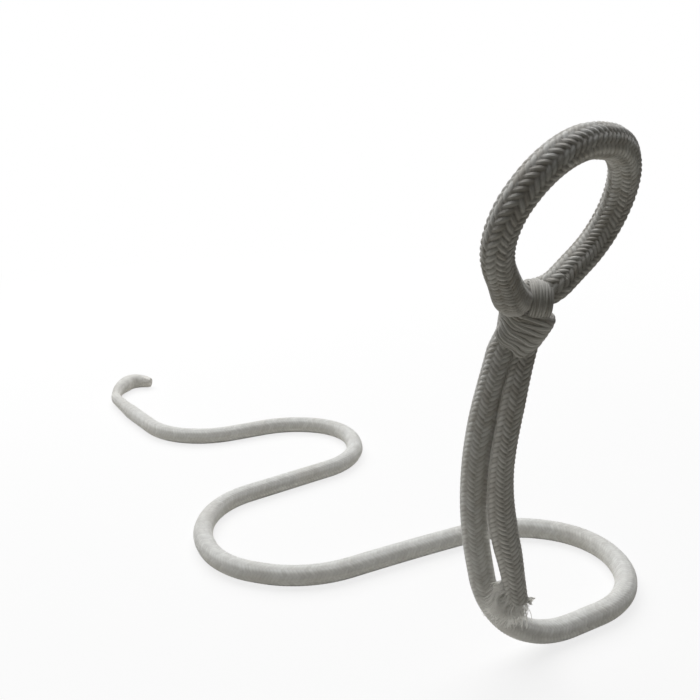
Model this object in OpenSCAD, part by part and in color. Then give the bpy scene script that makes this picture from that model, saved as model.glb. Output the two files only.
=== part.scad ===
// Bottle carrier: a braided rope drawn over one bent steel rod. The rod gives a
// flat winding base, an upright stem and a tilted loop for the neck of a bottle.
// The origin is on the table, under the middle of the base's central limb.
// +X runs from the loose tail to the stem, +Z is up. All sizes are in mm.

/* [Rope and rod] */
// Diameter of the braided rope where the rod fills it
rope_d = 7.8; // [6.8:0.1:8.8]
// Diameter of the steel rod inside the rope
rod_d = 5; // [3:0.1:6]
// Play between the rod and the inside of the rope
rod_play = 0.1; // [0.05:0.01:0.3]
// Diameter of the rope where it has no rod
slack_d = 6.9; // [6:0.1:7.6]
// Depth of the flat that the rope's own weight presses on the table
foot_flat = 0.4; // [0.2:0.05:0.6]

/* [Base] */
// Length of the base between its outermost bends
base_l = 331; // [300:1:360]
// Width of the base between its outermost bends
base_w = 120; // [105:1:135]
// Length of the sealed point at the tail's end
seal_l = 4.2; // [3:0.1:6]

/* [Stem] */
// Height of the knot's centre above the table
knot_h = 109.6; // [103:0.1:118]
// How far the knot stands ahead of the heel
knot_reach = 2.5; // [0:0.1:5]
// How far the knot stands to the side of the heel
knot_side = 3.7; // [2:0.1:5]
// How far the stem bows back toward the tail
stem_bow = 6.7; // [4:0.1:9]
// How far the stem bows to the side
stem_sway = 8.9; // [6:0.1:11]

/* [Loop] */
// Width of the loop between its outermost bends
loop_w = 46.6; // [43:0.1:52]
// Height of the loop's topmost bend above the knot
loop_h = 50.6; // [47:0.1:56]
// Lean of the loop's plane from upright
loop_lean = 22; // [15:1:28]
// Turn of the loop's plane about the upright axis
loop_yaw = -7; // [-12:1:0]

/* [Knot] */
// Thickness of the rope's flattened turn in the knot
turn_t = 2.3; // [1.6:0.1:2.9]
// Height of the knot's crossing turn
turn_h = 8; // [6.4:0.1:8.8]
// Play between the knot's turns and what they hold
knot_play = 0.1; // [0.05:0.05:0.3]
// Length of the flat leg from the middle of the crossing turn down to the free end
leg_l = 3.7; // [2:0.1:5]

/* [Free end] */
// Length of the frayed tip
fray_l = 7.4; // [5:0.1:8]
// Spread of the frayed tip at its lower end
fray_d = 9.5; // [7.5:0.1:10.5]

/* [Hidden] */
$fn = 48;

// Colours
rope_colour = [0.78, 0.78, 0.75];
steel_colour = [0.55, 0.56, 0.58];
seal_colour = [0.62, 0.60, 0.56];

// Two exact pieces of one stretch stop short of each other by this hair
seam = 0.02;

// Height of the rope's centreline above the table
lie_h = rope_d / 2 - foot_flat;
bore_d = rod_d + 2 * rod_play;

// Corners of the base, as shares of base_l and base_w, from the tail's end on
base_shares = [
    [-0.494, 0.237], [-0.524, 0.184], [-0.487, 0.018], [-0.392, -0.026],
    [-0.220, -0.070], [-0.159, 0.404], [-0.076, 0.526], [0.019, 0.368],
    [-0.0115, -0.221], [0.032, -0.395], [0.116, -0.469], [0.210, -0.325],
    [0.244, 0.035], [0.282, 0.368], [0.382, 0.500], [0.476, 0.307],
    [0.435, -0.199]
];
// The tail's end lies up by this share of the rope
tail_up_share = 0.84;
// Height of the stem's belly, as a share of the knot's height
belly_share = 0.6;
// Corners next to the knot, in diameters of the rope
stem_top_share = [0.12, 0.11, 1.01];
loop_foot_share = [1.08, 0.45, 1.22];
// Corners of the loop in its own plane: up as a share of loop_h, across as a
// share of loop_w and ahead of the plane as a share of the rope's diameter
loop_shares = [
    [0.488, 0.515, -0.05], [0.923, 0.376, 0.08],
    [1.000, -0.193, 0.37], [0.597, -0.485, 0.47]
];
// The near limb's last corners, in diameters of the rope: up, across, ahead
near_foot_share = [1.60, -1.10, 0.46];
near_end_share = [1.17, -0.27, 0.09];
bend_share = 0.5;

heel = [base_shares[16][0] * base_l, base_shares[16][1] * base_w, 0];
knot = heel + [knot_reach, -knot_side, knot_h];
loop_up = [sin(loop_lean) * cos(loop_yaw), sin(loop_lean) * sin(loop_yaw), cos(loop_lean)];
loop_across = [-sin(loop_yaw), cos(loop_yaw), 0];
loop_ahead = cross(loop_across, loop_up);

function base_corner(i) = [
    base_shares[i][0] * base_l,
    base_shares[i][1] * base_w,
    i == 0 ? tail_up_share * rope_d : lie_h
];
function in_loop(up, across, ahead) = knot + up * loop_up + across * loop_across + ahead * loop_ahead;
function loop_corner(k) = in_loop(
    loop_shares[k][0] * loop_h,
    loop_shares[k][1] * loop_w,
    loop_shares[k][2] * rope_d
);
function in_rope(share) = in_loop(share[0] * rope_d, share[1] * rope_d, share[2] * rope_d);

// Corners of the whole centreline, from the tail's end to the near limb's end
way = concat(
    [for (i = [0:16]) base_corner(i)],
    [[heel[0] - stem_bow, heel[1] - stem_sway, belly_share * knot_h]],
    [knot + stem_top_share * rope_d, knot + loop_foot_share * rope_d],
    [for (k = [0:3]) loop_corner(k)],
    [in_rope(near_foot_share), in_rope(near_end_share)]
);
last = len(way) - 1;

// Each corner is rounded by an arc that starts at a share of its shorter side
function unit(v) = v / norm(v);
function back(i) = unit(way[i - 1] - way[i]);
function ahead(i) = unit(way[i + 1] - way[i]);
function setback(i) = bend_share * min(norm(way[i - 1] - way[i]), norm(way[i + 1] - way[i]));
function half_angle(i) = acos(back(i) * ahead(i)) / 2;
function turn(i) = 180 - 2 * half_angle(i);
function bend_r(i) = setback(i) * tan(half_angle(i));
function centre(i) = way[i] + unit(back(i) + ahead(i)) * bend_r(i) / sin(half_angle(i));
function start(i) = way[i] + back(i) * setback(i);
function stop(i) = way[i] + ahead(i) * setback(i);
function radial_in(i) = unit(start(i) - centre(i));
function radial_out(i) = unit(stop(i) - centre(i));
function axle(i) = unit(cross(radial_in(i), stop(i) - centre(i)));
function matrix(x, y, z, at) = [
    [x[0], y[0], z[0], at[0]],
    [x[1], y[1], z[1], at[1]],
    [x[2], y[2], z[2], at[2]],
    [0, 0, 0, 1]
];

// Sweeps a flat profile round the arc at corner i
module arc(i) {
    x = radial_in(i);
    z = axle(i);
    multmatrix(matrix(x, cross(z, x), z, centre(i)))
        rotate_extrude(angle = turn(i))
            translate([bend_r(i), 0])
                children();
}

// Places its children at a point, with their +Z along a direction
module along(at, z, x) {
    side = unit(x - (x * z) * z);
    multmatrix(matrix(side, cross(z, side), z, at))
        children();
}

// Sweeps a flat profile from the arc at corner i to the next arc or to the end
module reach(i, to) {
    length = norm(to - stop(i)) - seam;
    if (length > seam)
        along(stop(i) + ahead(i) * seam, ahead(i), radial_out(i))
            linear_extrude(length)
                children();
}

module above_table() {
    difference() {
        children();
        translate([-base_l, -base_w, -rope_d])
            cube([2 * base_l, 2 * base_w, rope_d]);
    }
}

module cover_profile() {
    difference() {
        circle(d = rope_d);
        circle(d = bore_d);
    }
}

// One stretch of the cover: the arc at corner i and the straight after it
module stretch(i) {
    arc(i)
        cover_profile();
    if (i < last - 1)
        reach(i, start(i + 1))
            cover_profile();
}

// Frames carried along the centreline without twist, for the rod's one skin
rod_step = 7;
rod_sides = 10;
function arc_steps(i) = ceil(turn(i) / rod_step);
function arc_point(i, w) = centre(i) + bend_r(i) * (cos(w) * radial_in(i) + sin(w) * cross(axle(i), radial_in(i)));
function arc_way(i, w) = cos(w) * cross(axle(i), radial_in(i)) - sin(w) * radial_in(i);
rod_rings = concat(
    [[stop(2), ahead(2)]],
    [for (i = [3:last - 1], k = [0:arc_steps(i)])
        let (w = turn(i) * k / arc_steps(i))
        if (k > 0 || norm(start(i) - stop(i - 1)) > seam)
            [arc_point(i, w), arc_way(i, w)]]
);
function carried(v, t) = unit(v - (v * t) * t);
rod_sides_at = [
    for (j = 0, v = [0, 0, 1]; j < len(rod_rings); j = j + 1, v = carried(v, rod_rings[min(j, len(rod_rings) - 1)][1]))
        carried(v, rod_rings[j][1])
];

module skin(rings) {
    // rings is a list of rings of points, all with the same count
    n = len(rings[0]);
    m = len(rings);
    polyhedron(
        points = [for (r = rings, p = r) p],
        faces = concat(
            [[for (k = [0:n - 1]) k]],
            [for (j = [0:m - 2], k = [0:n - 1])
                [j * n + k, (j + 1) * n + k, j * n + (k + 1) % n]],
            [for (j = [0:m - 2], k = [0:n - 1])
                [j * n + (k + 1) % n, (j + 1) * n + k, (j + 1) * n + (k + 1) % n]],
            [[for (k = [n - 1:-1:0]) (m - 1) * n + k]]
        ),
        convexity = 10
    );
}

module core_rod() {
    color(steel_colour)
        skin([
            for (j = [0:len(rod_rings) - 1])
                let (
                    p = rod_rings[j][0],
                    t = rod_rings[j][1],
                    u = rod_sides_at[j],
                    v = cross(t, u)
                )
                [for (k = [0:rod_sides - 1])
                    p + rod_d / 2 * (cos(360 * k / rod_sides) * u + sin(360 * k / rod_sides) * v)]
        ]);
}

// The tail has no rod: it curls up and ends in a sealed point
tail_end = way[0] + seal_l * unit(way[1] - way[0]);
seal_share = 0.6;

module tail_seal() {
    color(seal_colour)
        along(tail_end, unit(way[0] - way[1]), [0, 0, 1])
            cylinder(h = seal_l, d1 = slack_d, d2 = seal_share * slack_d);
}

module tail_curl() {
    color(rope_colour)
        above_table() {
            along(tail_end, unit(way[1] - way[0]), [0, 0, 1])
                cylinder(h = norm(start(1) - tail_end) - seam, d = slack_d);
            arc(1)
                circle(d = slack_d);
            reach(1, start(2))
                circle(d = slack_d);
        }
}

module tail_neck() {
    color(rope_colour)
        above_table()
            arc(2)
                circle(d = slack_d);
}

module sleeve_tail_run() {
    color(rope_colour)
        above_table() {
            along(stop(2), ahead(2), [0, 0, 1])
                linear_extrude(norm(start(3) - stop(2)) - seam)
                    cover_profile();
            stretch(3);
        }
}

module lying(i) {
    color(rope_colour)
        above_table()
            stretch(i);
}

module standing(i) {
    color(rope_colour)
        stretch(i);
}

module sleeve_first_rise() { lying(4); }
module sleeve_first_crest_in() { lying(5); }
module sleeve_first_crest_top() { lying(6); }
module sleeve_first_crest_out() { lying(7); }
module sleeve_trough_in() { lying(8); }
module sleeve_trough_floor() { lying(9); }
module sleeve_trough_mid() { lying(10); }
module sleeve_trough_out() { lying(11); }
module sleeve_second_rise() { lying(12); }
module sleeve_last_crest_in() { lying(13); }
module sleeve_last_crest_top() { lying(14); }
module sleeve_last_crest_out() { lying(15); }
module sleeve_heel() { lying(16); }
module sleeve_stem() { standing(17); }
module sleeve_stem_top() { standing(18); }
module sleeve_loop_foot() { standing(19); }
module sleeve_far_limb() { standing(20); }
module sleeve_crown_far() { standing(21); }
module sleeve_crown_near() { standing(22); }
module sleeve_near_limb() { standing(23); }
module sleeve_near_foot() { standing(24); }
// The near limb ends over the knot in the rope's rounded fold
module knot_fold() {
    color(rope_colour)
        along(stop(last - 1) + ahead(last - 1) * seam, ahead(last - 1), radial_out(last - 1))
            difference() {
                sphere(d = rope_d);
                translate([-rope_d, -rope_d, -rope_d])
                    cube([2 * rope_d, 2 * rope_d, rope_d]);
            }
}

// The knot: the flattened rope crosses in front of the stem and holds the leg
// that becomes the free end. These directions place both on the stem.
stem_way = ahead(17);
strand_yaw = 35;
strand_dir = [cos(strand_yaw), sin(strand_yaw), 0];
strand_side = unit(strand_dir - (strand_dir * stem_way) * stem_way);
turn_lean = 25;
turn_yaw = 12;
turn_axis = [sin(turn_lean) * cos(turn_yaw), sin(turn_lean) * sin(turn_yaw), cos(turn_lean)];
// Drop of the turn's middle under the stem's top corner, in ropes
turn_drop_share = 0.8;
turn_at = way[18] - turn_drop_share * rope_d * stem_way;
leg_share = 0.5;
leg_t = leg_share * slack_d;
leg_w = slack_d;
leg_gap = rope_d / 2 + knot_play + leg_t / 2;
// Thickness of the turn where it is pulled tight and where it folds back
tight_share = 0.65;
slack_share = 1.2;
turn_r = rope_d / 2 + knot_play + turn_t;
turn_left = rope_d / 2 + knot_play + tight_share * turn_t;
turn_right = leg_gap + leg_t / 2 + knot_play + slack_share * turn_t;

module leg_profile() {
    // A flattened rope: round at both edges
    square([leg_t, leg_w - leg_t], center = true);
    for (s = [-1, 1])
        translate([0, s * (leg_w - leg_t) / 2])
            circle(d = leg_t);
}

module turn_outline() {
    for (x = [turn_r - turn_left, turn_right - turn_r])
        translate([x, 0])
            circle(r = turn_r);
    translate([turn_r - turn_left, -turn_r])
        square([turn_right - 2 * turn_r + turn_left, 2 * turn_r]);
}

// What the turn goes round: the stem and, pressed against it, the leg
module held_outline() {
    circle(d = rope_d + 2 * knot_play);
    translate([0, -leg_w / 2 - knot_play])
        square([leg_gap + leg_t / 2 + knot_play, leg_w + 2 * knot_play]);
}

module knot_collar() {
    color(rope_colour)
        difference() {
            along(turn_at - turn_h / 2 * turn_axis, turn_axis, strand_side)
                linear_extrude(turn_h)
                    turn_outline();
            along(turn_at - turn_h * stem_way, stem_way, strand_side)
                linear_extrude(2 * turn_h)
                    held_outline();
        }
}

// The bridge goes up from the leg and over the far limb's foot. It clears the
// bow of the foot's bend under its own breadth.
bridge_w_share = 0.6;
bridge_at_share = 0.45;
bridge_start = -60;
bridge_turn = 235;
bridge_w = bridge_w_share * rope_d;
bridge_bow = bridge_w * bridge_w / (8 * bend_r(19));
bridge_mid = turn(19) * bridge_at_share;

module bridge_profile() {
    square([turn_t, bridge_w - turn_t], center = true);
    for (s = [-1, 1])
        translate([0, s * (bridge_w - turn_t) / 2])
            circle(d = turn_t);
}

module knot_bridge() {
    color(rope_colour)
        along(arc_point(19, bridge_mid), arc_way(19, bridge_mid), [0, 0, 1])
            rotate([0, 0, bridge_start])
                rotate_extrude(angle = bridge_turn)
                    translate([rope_d / 2 + knot_play + bridge_bow + turn_t / 2, 0])
                        bridge_profile();
}

// The free end hangs beside the stem. Its route, in mm, from the knot down
free_route = [
    [150.1, -24.6, 106.5], [148.9, -25.4, 99], [147.9, -26.4, 91.7],
    [147.0, -27.1, 84.3], [146.3, -27.6, 75.9], [145.9, -27.9, 67.5],
    [146.4, -27.7, 59], [147.6, -27.2, 50.6], [149.0, -26.6, 41],
    [150.7, -25.7, 31.6]
];
// It leaves the knot flattened and opens to its full thickness
free_flat_shares = [0.50, 0.58, 0.68, 0.77, 0.86, 0.95, 1, 1, 1, 1];
free_sides = 12;
free_last = len(free_route) - 1;
function free_way(i) = i == 0
    ? -stem_way
    : unit(free_route[min(i + 1, free_last)] - free_route[i - 1]);

module knot_leg() {
    color(rope_colour)
        along(turn_at + leg_gap * strand_side - leg_l * stem_way, stem_way, strand_side)
            linear_extrude(leg_l)
                leg_profile();
}

module free_end() {
    color(rope_colour)
        skin([
            for (i = [0:free_last])
                let (
                    t = free_way(i),
                    u = unit(strand_dir - (strand_dir * t) * t),
                    v = cross(t, u)
                )
                [for (k = [0:free_sides - 1])
                    free_route[i]
                        + slack_d / 2 * free_flat_shares[i] * cos(360 * k / free_sides) * u
                        + slack_d / 2 * sin(360 * k / free_sides) * v]
        ]);
}

module frayed_tip() {
    color(rope_colour)
        along(free_route[free_last], free_way(free_last), strand_dir)
            cylinder(h = fray_l, d1 = slack_d, d2 = fray_d);
}

core_rod();
tail_seal();
tail_curl();
tail_neck();
sleeve_tail_run();
sleeve_first_rise();
sleeve_first_crest_in();
sleeve_first_crest_top();
sleeve_first_crest_out();
sleeve_trough_in();
sleeve_trough_floor();
sleeve_trough_mid();
sleeve_trough_out();
sleeve_second_rise();
sleeve_last_crest_in();
sleeve_last_crest_top();
sleeve_last_crest_out();
sleeve_heel();
sleeve_stem();
sleeve_stem_top();
sleeve_loop_foot();
sleeve_far_limb();
sleeve_crown_far();
sleeve_crown_near();
sleeve_near_limb();
sleeve_near_foot();
knot_fold();
knot_collar();
knot_bridge();
knot_leg();
free_end();
frayed_tip();
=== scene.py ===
"""Bottle carrier: a braided rope over one bent rod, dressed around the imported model.

Sizes are in millimetres, as in the part's source, and become metres where a mesh is
made. The centreline is worked out from the same corners as the solids.
"""
import logging
import math
from dataclasses import dataclass, field
from enum import Enum, IntEnum
from typing import Callable, Sequence

import bpy
import numpy as np
from mathutils import Matrix, Vector


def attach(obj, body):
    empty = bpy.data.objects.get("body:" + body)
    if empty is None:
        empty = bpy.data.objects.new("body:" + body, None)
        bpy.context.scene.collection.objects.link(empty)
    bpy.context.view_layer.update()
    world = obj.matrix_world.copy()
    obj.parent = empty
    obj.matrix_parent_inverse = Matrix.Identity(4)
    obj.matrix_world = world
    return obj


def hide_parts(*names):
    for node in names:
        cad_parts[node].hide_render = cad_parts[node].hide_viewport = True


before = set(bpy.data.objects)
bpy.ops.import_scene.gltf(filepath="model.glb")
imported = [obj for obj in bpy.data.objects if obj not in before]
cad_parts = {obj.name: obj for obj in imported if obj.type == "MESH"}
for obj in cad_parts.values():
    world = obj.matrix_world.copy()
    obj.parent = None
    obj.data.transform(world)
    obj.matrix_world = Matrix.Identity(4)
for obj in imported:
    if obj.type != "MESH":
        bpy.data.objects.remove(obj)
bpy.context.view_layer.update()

LOG = logging.getLogger("carrier")
MM = 0.001
BODY = "root"
WHITE = (1.0, 1.0, 1.0, 1.0)
UP = np.array([0.0, 0.0, 1.0])
Array, Piece, Material = np.ndarray, bpy.types.Object, bpy.types.Material
Socket, Node, Tree = bpy.types.NodeSocket, bpy.types.Node, bpy.types.NodeTree
Point, Row = tuple[float, float, float], tuple[float, ...]
Inputs = dict[str | int, object]


def unit(v: Array) -> Array:
    """Return the vector at length one."""
    return v / np.linalg.norm(v)


def add_object(name: str, data: bpy.types.ID) -> Piece:
    """Put an object with its data into the scene.

    Args:
        name: The object's name.
        data: Its mesh, camera or lamp.

    Returns:
        The object.
    """
    made = bpy.data.objects.new(name, data)
    bpy.context.scene.collection.objects.link(made)
    return made


# ---------------------------------------------------------------- node trees


def two_sided(operation: str) -> Callable[["Field", "Field | float"], "Field"]:
    """Return the method that joins a field and another value in a Math node."""
    return lambda field, other: field.math(operation, other)


class Field:
    """A value in a node tree, so that a rule can be written as a formula."""

    def __init__(self, tree: Tree, socket: Socket) -> None:
        """Keep the tree and the socket that carries the value."""
        self.tree, self.socket = tree, socket

    def math(self, operation: str, *others: "Field | float", clamp: bool = False) -> "Field":
        """Add a Math node.

        Args:
            operation: The node's operation.
            others: The second and third values.
            clamp: Whether the result stays between 0 and 1.

        Returns:
            The node's result.
        """
        values = dict(enumerate((self, *others)))
        graph = Graph(self.tree)
        return graph.value("ShaderNodeMath", 0, values, operation=operation, use_clamp=clamp)

    def __neg__(self) -> "Field":
        """Return the value with its sign changed."""
        return self.math("MULTIPLY", -1.0)

    def held(self) -> "Field":
        """Return the value held between 0 and 1."""
        return self.math("ADD", 0.0, clamp=True)

    __add__, __sub__, __mul__, __truediv__, most = map(
        two_sided, ("ADD", "SUBTRACT", "MULTIPLY", "DIVIDE", "MAXIMUM")
    )


class Graph:
    """A node tree that is built in code."""

    def __init__(self, tree: Tree) -> None:
        """Keep the tree."""
        self.tree = tree

    @staticmethod
    def find(sockets: Sequence[Socket], key: str | int) -> Socket:
        """Find a socket.

        Args:
            sockets: A node's inputs or outputs.
            key: A place among them, or the name of an enabled one.

        Returns:
            The socket.
        """
        if isinstance(key, int):
            return sockets[key]
        return next(s for s in sockets if s.enabled and s.name == key)

    def feed(self, node: Node, inputs: Inputs) -> None:
        """Link fields and sockets to a node's inputs and set plain values on them.

        Args:
            node: The node.
            inputs: What each input takes, by its place or name.
        """
        for key, value in inputs.items():
            source = value.socket if isinstance(value, Field) else value
            target = self.find(node.inputs, key)
            if isinstance(source, Socket):
                self.tree.links.new(source, target)
            else:
                target.default_value = source

    def add(self, kind: str, inputs: Inputs | None = None, **settings: object) -> Node:
        """Add a node, set its properties and feed its inputs.

        Args:
            kind: The node's type.
            inputs: What each input takes, by its place or name.
            settings: The node's properties.

        Returns:
            The node.
        """
        node = self.tree.nodes.new(kind)
        for key, value in settings.items():
            setattr(node, key, value)
        self.feed(node, inputs or {})
        return node

    def get(self, node: Node, output: str | int) -> Field:
        """Return an output of a node."""
        return Field(self.tree, self.find(node.outputs, output))

    def value(
        self, kind: str, output: str | int = 0, inputs: Inputs | None = None, **settings: object
    ) -> Field:
        """Add a node and return one of its outputs.

        Args:
            kind: The node's type.
            output: The output's place or name.
            inputs: What each input takes, by its place or name.
            settings: The node's properties.

        Returns:
            The output.
        """
        return self.get(self.add(kind, inputs, **settings), output)


class Group(Graph):
    """A node group with named inputs and outputs."""

    def __init__(
        self, name: str, kind: str, inputs: dict[str, tuple[str, object]], outputs: dict[str, str]
    ) -> None:
        """Make the group.

        Args:
            name: The group's name.
            kind: The type of its tree.
            inputs: For each input, its kind of socket and its default value.
            outputs: For each output, its kind of socket.
        """
        super().__init__(bpy.data.node_groups.new(name, kind))
        face = self.tree.interface
        for label, (of, value) in inputs.items():
            socket = face.new_socket(label, in_out="INPUT", socket_type="NodeSocket" + of)
            if value is not None:
                socket.default_value = value
        for label, of in outputs.items():
            face.new_socket(label, in_out="OUTPUT", socket_type="NodeSocket" + of)
        self.inlet = self.tree.nodes.new("NodeGroupInput")
        self.outlet = self.tree.nodes.new("NodeGroupOutput")

    def given(self, label: str) -> Field:
        """Return a named input."""
        return self.get(self.inlet, label)


class GeometryTree(Group):
    """A Geometry Nodes group that is applied to one object at a time."""

    def __init__(self, name: str, sizes: dict[str, tuple[str, object]]) -> None:
        """Make the group, with its sizes between the geometry and the finish."""
        inputs = {"Geometry": ("Geometry", None), **sizes, "Finish": ("Material", None)}
        super().__init__(name, "GeometryNodeTree", inputs, {"Geometry": "Geometry"})

    def read(self, label: str, kind: str = "FLOAT") -> Field:
        """Return a named attribute of the mesh."""
        kinds = {"data_type": kind}
        return self.value("GeometryNodeInputNamedAttribute", "Attribute", {"Name": label}, **kinds)

    def keep(self, geometry: Field, label: str, value: Field) -> Field:
        """Store a value as a named attribute.

        Args:
            geometry: The mesh.
            label: The attribute's name.
            value: Its value at each point.

        Returns:
            The mesh with its attribute.
        """
        return self.value(
            "GeometryNodeStoreNamedAttribute", "Geometry",
            {"Geometry": geometry, "Name": label, "Value": value},
            data_type="FLOAT", domain="POINT",
        )

    def move(self, geometry: Field, offset: Field) -> Field:
        """Return the geometry with its points moved."""
        given = {"Geometry": geometry, "Offset": offset}
        return self.value("GeometryNodeSetPosition", "Geometry", given)

    def scaled(self, vector: Field, size: Field) -> Field:
        """Return a vector times a size."""
        return self.value("ShaderNodeVectorMath", 0, {0: vector, "Scale": size}, operation="SCALE")

    def close(self, geometry: Field) -> None:
        """End the group in Realize Instances and Set Material.

        Args:
            geometry: What the group puts out.
        """
        real = self.value("GeometryNodeRealizeInstances", 0, {"Geometry": geometry})
        given = {"Geometry": real, "Material": self.given("Finish")}
        self.feed(self.outlet, {"Geometry": self.value("GeometryNodeSetMaterial", 0, given)})

    def apply(self, piece: Piece, values: dict[str, object]) -> None:
        """Run the group on an object and keep the result as its plain mesh.

        Args:
            piece: The object that the group works on.
            values: The inputs, by their names.
        """
        modifier = piece.modifiers.new(self.tree.name, "NODES")
        modifier.node_group = self.tree
        for item in self.tree.interface.items_tree:
            if item.in_out == "INPUT" and item.name in values:
                modifier[item.identifier] = values[item.name]
        graph = bpy.context.evaluated_depsgraph_get()
        mesh = bpy.data.meshes.new_from_object(
            piece.evaluated_get(graph), preserve_all_data_layers=True, depsgraph=graph
        )
        piece.modifiers.remove(modifier)
        piece.data = mesh
        mesh.shade_smooth()


def braid_relief_tree() -> GeometryTree:
    """Build the rule that raises a twill braid on a smooth rope.

    Two families of strands wind round the rope in opposite ways. Each goes over two
    strands of the other family and under two, so the raised floats stand in columns.

    Returns:
        The tree, which reads the attributes lay, round, out and ease.
    """
    tree = GeometryTree(
        "braid_relief",
        {
            "Strands": ("Float", 6.0), "Pitch": ("Float", 2.2 * MM),
            "Crown": ("Float", 0.5 * MM), "Lift": ("Float", 0.2 * MM),
        },
    )
    roundness, blend = 0.62, 0.12
    seed_step, seed_shift = 1.7, 40.0  # keep the two families' tints apart
    crown, lift = tree.given("Crown"), tree.given("Lift")
    turns = tree.read("round") * tree.given("Strands")
    along = tree.read("lay") / tree.given("Pitch")
    left, right = along + turns, along - turns
    left_of, right_of = left.math("ROUND"), right.math("ROUND")
    off_left, off_right = left - left_of, right - right_of
    column = (turns * 2.0 - 0.5).math("WRAP", 2.0, -2.0)
    wave = (column * (math.pi / 2)).math("COSINE") * lift

    def dome(offset: Field) -> Field:
        """Return the round back of one strand at an offset from its middle."""
        return (-(offset * offset * 4.0) + 1.0).most(0.0).math("POWER", roundness) * crown

    high_left, high_right = dome(off_left) + wave, dome(off_right) - wave
    height = high_left.math("SMOOTH_MAX", high_right, crown * blend) - crown - lift
    is_left = high_left.math("GREATER_THAN", high_right)
    across = off_right + (off_left - off_right) * is_left
    strand = right_of + (left_of * seed_step + seed_shift - right_of) * is_left
    tint = tree.value("ShaderNodeTexWhiteNoise", "Value", {"W": strand}, noise_dimensions="1D")
    raised = height * tree.read("ease")
    flow = tree.given("Geometry")
    # how deep each point lies in the braid; the yarn finish paints shade into the hollows from it
    hollow = -raised / (crown + lift)
    for label, value in (("hollow", hollow), ("across", across), ("tint", tint)):
        flow = tree.keep(flow, label, value)
    flow = tree.move(flow, tree.scaled(tree.read("out", "FLOAT_VECTOR"), raised))
    place = tree.value("GeometryNodeInputPosition")
    under = -tree.value("ShaderNodeSeparateXYZ", "Z", {0: place})
    rise = tree.value("ShaderNodeCombineXYZ", 0, {"Z": under.most(0.0)})
    tree.close(tree.move(flow, rise))
    return tree


def fray_tree() -> GeometryTree:
    """Build the rule that makes a tuft of loose fibres, hanging along -Z.

    Returns:
        The tree, which makes its own geometry.
    """
    tree = GeometryTree(
        "loose_fibres",
        {
            "Count": ("Int", 120), "Root": ("Float", 3.0 * MM), "Length": ("Float", 9.0 * MM),
            "Spread": ("Float", 0.6), "Thickness": ("Float", 0.15 * MM), "Seed": ("Int", 1),
        },
    )
    fibre_points, fibre_sides, crimp, wander = 10, 4, 260.0, 0.9
    length = tree.given("Length")

    def chance(low: float, high: float, offset: int) -> Field:
        """Return a random value, one for each fibre."""
        given = {"Min": low, "Max": high, "Seed": tree.given("Seed") + float(offset)}
        return tree.value("FunctionNodeRandomValue", "Value", given, data_type="FLOAT")

    def combined(x: Field, y: Field) -> Field:
        """Return the vector of two values."""
        return tree.value("ShaderNodeCombineXYZ", 0, {"X": x, "Y": y})

    angle, reach = chance(0.0, 2 * math.pi, 1), chance(0.0, 1.0, 2).math("SQRT")
    cosine, sine = angle.math("COSINE"), angle.math("SINE")
    root = combined(cosine * reach * tree.given("Root"), sine * reach * tree.given("Root"))
    points = tree.value("GeometryNodePoints", 0, {"Count": tree.given("Count"), "Position": root})
    down = {"Direction": (0.0, 0.0, -1.0), "Length": length}
    line = tree.value("GeometryNodeCurvePrimitiveLine", 0, down, mode="DIRECTION")
    fine = tree.value("GeometryNodeResampleCurve", 0, {"Curve": line, "Count": fibre_points})
    lean = reach * tree.given("Spread") * chance(0.3, 1.0, 3)
    strewn = tree.value(
        "GeometryNodeInstanceOnPoints", 0,
        {
            "Points": points, "Instance": fine, "Scale": chance(0.35, 1.0, 4),
            "Rotation": combined(sine * lean, -(cosine * lean)),
        },
    )
    real = tree.value("GeometryNodeRealizeInstances", 0, {"Geometry": strewn})
    noise = tree.value("ShaderNodeTexNoise", "Color", {"Scale": crimp, "Detail": 1.0})
    half = {0: noise, 1: (0.5, 0.5, 0.5)}
    centred = tree.value("ShaderNodeVectorMath", 0, half, operation="SUBTRACT")
    sway = tree.value("GeometryNodeSplineParameter", "Factor") * length * wander
    bent = tree.move(real, tree.scaled(centred, sway))
    outline = {"Resolution": fibre_sides, "Radius": tree.given("Thickness")}
    profile = tree.value("GeometryNodeCurvePrimitiveCircle", 0, outline)
    skin = {"Curve": bent, "Profile Curve": profile, "Fill Caps": True}
    tree.close(tree.value("GeometryNodeCurveToMesh", 0, skin))
    return tree


# ---------------------------------------------------------------- finishes


class Surface(Graph):
    """A material's node tree around its Principled BSDF."""

    def __init__(self, name: str) -> None:
        """Make the material.

        Args:
            name: Its name.
        """
        self.material = bpy.data.materials.new(name)
        self.material.use_nodes = True
        super().__init__(self.material.node_tree)
        self.shader = self.tree.nodes["Principled BSDF"]

    def place(self) -> Field:
        """Return the place on the object."""
        return self.value("ShaderNodeTexCoord", "Object")

    def bump(self, height: Field, strength: float, distance: float) -> Field:
        """Return the normal of a fine relief.

        Args:
            height: The relief.
            strength: How strongly it shows.
            distance: Its depth in millimetres.

        Returns:
            The normal.
        """
        given = {"Strength": strength, "Distance": distance * MM, "Height": height}
        return self.value("ShaderNodeBump", "Normal", given)

    def mix_in(self, share: Field | float, other: Field) -> None:
        """Mix a share of another shader into the surface.

        Args:
            share: The share.
            other: The other shader.
        """
        given = {"Fac": share, 1: self.shader.outputs["BSDF"], 2: other}
        mixed = self.value("ShaderNodeMixShader", 0, given)
        self.feed(self.tree.nodes["Material Output"], {"Surface": mixed})


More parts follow.
